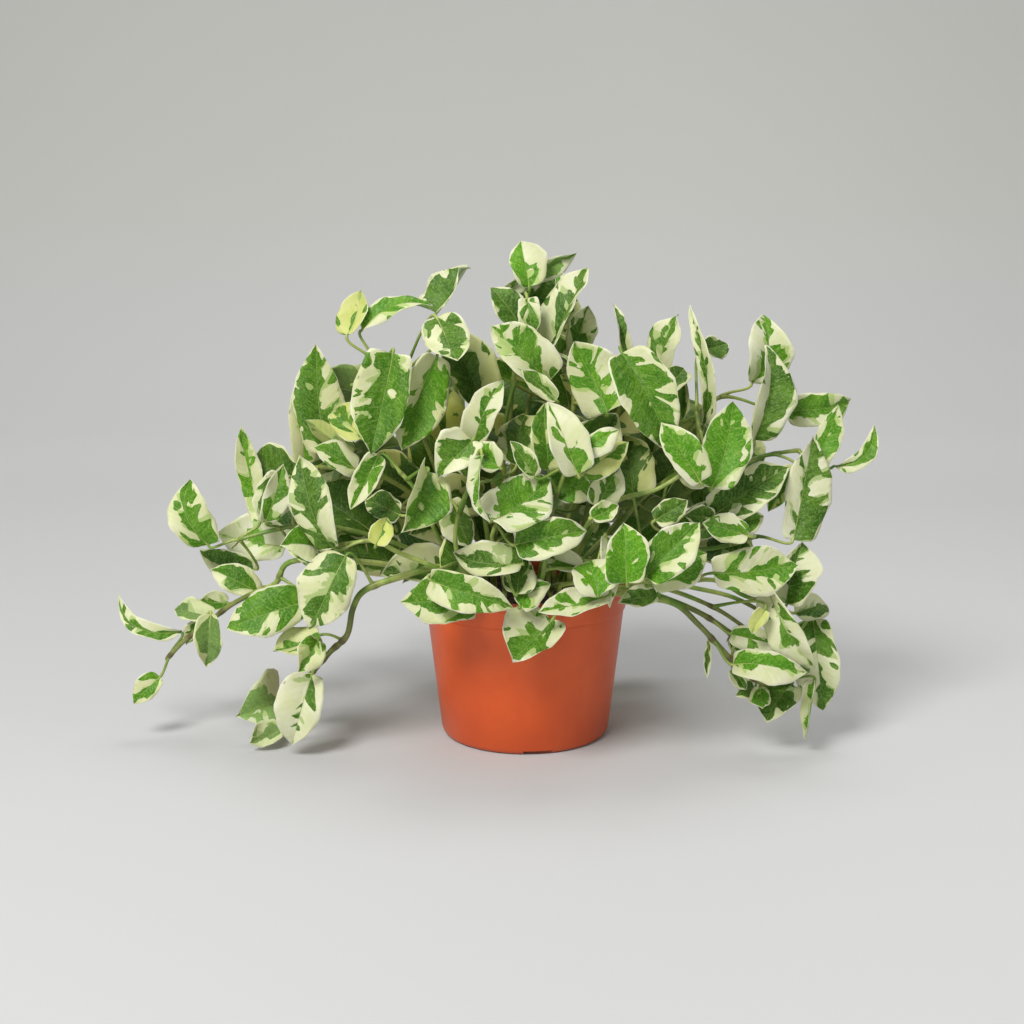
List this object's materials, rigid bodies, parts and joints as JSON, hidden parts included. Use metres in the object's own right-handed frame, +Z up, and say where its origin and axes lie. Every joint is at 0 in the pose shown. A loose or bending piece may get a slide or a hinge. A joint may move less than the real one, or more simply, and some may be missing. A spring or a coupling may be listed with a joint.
{
  "type": "potted pothos plant",
  "caption": "Bushy variegated trailing houseplant with cream and green heart-shaped leaves, in a round tapered plastic nursery pot filled with soil.",
  "frame": {"origin": "centre of the pot's underside, on the surface it stands on", "axes": "+Z up along the pot's axis, -Y towards the front that the picture shows, +X to the right"},
  "size_m": [0.4442, 0.2512, 0.2908],
  "materials": {
    "terracotta_plastic": "satin moulded plastic",
    "soil": "rough dark growing mix",
    "foliage": "waxy leaf, green and cream"
  },
  "bodies": {
    "root": {"pot": "terracotta_plastic", "soil": "soil", "stem_back": "foliage", "stem_back_left": "foliage", "stem_back_left_low": "foliage", "stem_back_right": "foliage", "stem_back_right_low": "foliage", "stem_back_trailing_left": "foliage", "stem_back_trailing_right": "foliage", "stem_centre": "foliage", "stem_centre_left": "foliage", "stem_centre_right": "foliage", "stem_centre_right_high": "foliage", "stem_front": "foliage", "stem_front_left": "foliage", "stem_front_left_high": "foliage", "stem_front_right": "foliage", "stem_front_right_outer": "foliage", "stem_inner": "foliage", "stem_inner_left": "foliage", "stem_inner_right": "foliage", "stem_left": "foliage", "stem_left_bundle_high": "foliage", "stem_left_bundle_low": "foliage", "stem_left_trailing": "foliage", "stem_lower_left_trailing": "foliage", "stem_lower_right": "foliage", "stem_lower_right_front": "foliage", "stem_lower_right_outer": "foliage", "stem_right": "foliage", "stem_right_fan": "foliage", "stem_right_front": "foliage", "stem_right_high": "foliage", "stem_right_low": "foliage", "stem_top": "foliage", "stem_top_left": "foliage", "stem_top_right": "foliage", "stem_upper_left_inner": "foliage", "stem_upper_left_low": "foliage", "stem_upper_left_middle": "foliage", "stem_upper_left_outer": "foliage", "stem_upper_right_inner": "foliage", "stem_upper_right_middle": "foliage", "stem_upper_right_outer": "foliage"}
  },
  "joints": []
}
